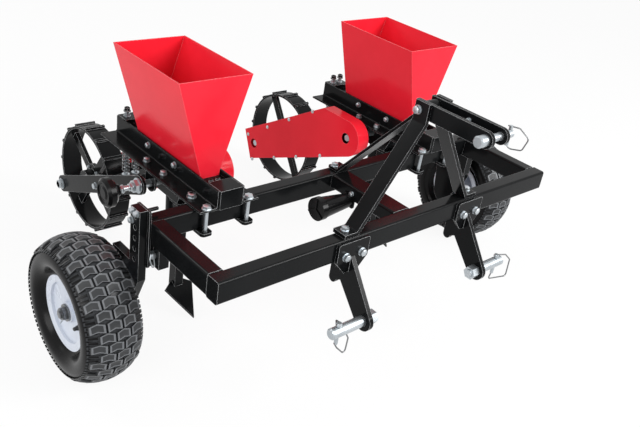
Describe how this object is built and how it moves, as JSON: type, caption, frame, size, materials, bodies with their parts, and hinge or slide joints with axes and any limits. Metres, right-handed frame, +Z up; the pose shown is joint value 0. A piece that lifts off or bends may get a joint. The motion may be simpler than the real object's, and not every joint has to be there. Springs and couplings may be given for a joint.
{
  "type": "row crop planter",
  "caption": "Row crop planter for a three-point hitch: tube frame with mast, gauge wheels, and seed units with open hoppers, chain guards and lugged drive wheels.",
  "frame": {"origin": "middle of the outline box, on the floor", "axes": "+Z up, -Y towards the tractor (hitch side), +X to the left as the driver looks back at it"},
  "size_m": [1.554, 1.28, 0.713],
  "materials": {
    "black_paint": "gloss powder coat",
    "red_paint": "gloss powder coat",
    "rim_paint": "satin paint",
    "zinc": "bright zinc plate",
    "tyre": "matt rubber",
    "black_plastic": "satin moulded plastic"
  },
  "bodies": {
    "frame": {"front_tube": "black_paint", "rear_tube": "black_paint", "left_tube": "black_paint", "right_tube": "black_paint", "cross_tube": "black_paint", "top_link_bars": "black_paint", "mast_brace": "black_paint", "leg_brackets": "black_paint", "angle_irons": "black_paint", "end_blocks": "black_paint", "hangers": "black_paint", "hitch_arm_left": "black_paint", "mast_leg_left": "black_paint", "wheel_leg_left": "black_paint", "meter_left": "black_paint", "opener_left": "black_paint", "wheel_arms_left": "black_paint", "hopper_left": "red_paint", "chain_guard_left": "red_paint", "lower_pin_left": "zinc", "hitch_arm_right": "black_paint", "mast_leg_right": "black_paint", "wheel_leg_right": "black_paint", "meter_right": "black_paint", "opener_right": "black_paint", "wheel_arms_right": "black_paint", "hopper_right": "red_paint", "chain_guard_right": "red_paint", "lower_pin_right": "zinc", "clamps": "black_paint", "spring_rods": "zinc", "top_link_pin": "zinc", "canister": "black_plastic"},
    "gauge_wheel_left": {"gauge_rim_left": "rim_paint", "tyre_left": "tyre"},
    "drive_wheel_left": {"drive_wheel_left": "black_paint", "drive_axle_left": "zinc"},
    "feed_drive_left": {"meter_shaft_left": "zinc", "knob_left": "black_plastic"},
    "gauge_wheel_right": {"gauge_rim_right": "rim_paint", "tyre_right": "tyre"},
    "drive_wheel_right": {"drive_wheel_right": "black_paint", "drive_axle_right": "zinc"},
    "feed_drive_right": {"meter_shaft_right": "zinc", "knob_right": "black_plastic"}
  },
  "joints": [
    {"name": "gauge_wheel_left_spin", "type": "hinge", "parent": "frame", "child": "gauge_wheel_left", "pos_m": [-0.707, -0.122, 0.178], "axis": [1, 0, 0], "continuous": true},
    {"name": "drive_wheel_left_spin", "type": "hinge", "parent": "frame", "child": "drive_wheel_left", "pos_m": [-0.381, 0.472, 0.168], "axis": [1, 0, 0], "continuous": true},
    {"name": "feed_drive_left_spin", "type": "hinge", "parent": "frame", "child": "feed_drive_left", "pos_m": [-0.381, 0.03, 0.374], "axis": [1, 0, 0], "continuous": true},
    {"name": "gauge_wheel_right_spin", "type": "hinge", "parent": "frame", "child": "gauge_wheel_right", "pos_m": [0.707, -0.122, 0.178], "axis": [1, 0, 0], "continuous": true},
    {"name": "drive_wheel_right_spin", "type": "hinge", "parent": "frame", "child": "drive_wheel_right", "pos_m": [0.381, 0.472, 0.168], "axis": [1, 0, 0], "continuous": true},
    {"name": "feed_drive_right_spin", "type": "hinge", "parent": "frame", "child": "feed_drive_right", "pos_m": [0.381, 0.03, 0.374], "axis": [1, 0, 0], "continuous": true}
  ],
  "couplings": [
    {"joint": "feed_drive_left_spin", "follows": "drive_wheel_left_spin", "ratio": 1},
    {"joint": "feed_drive_right_spin", "follows": "drive_wheel_right_spin", "ratio": 1}
  ]
}
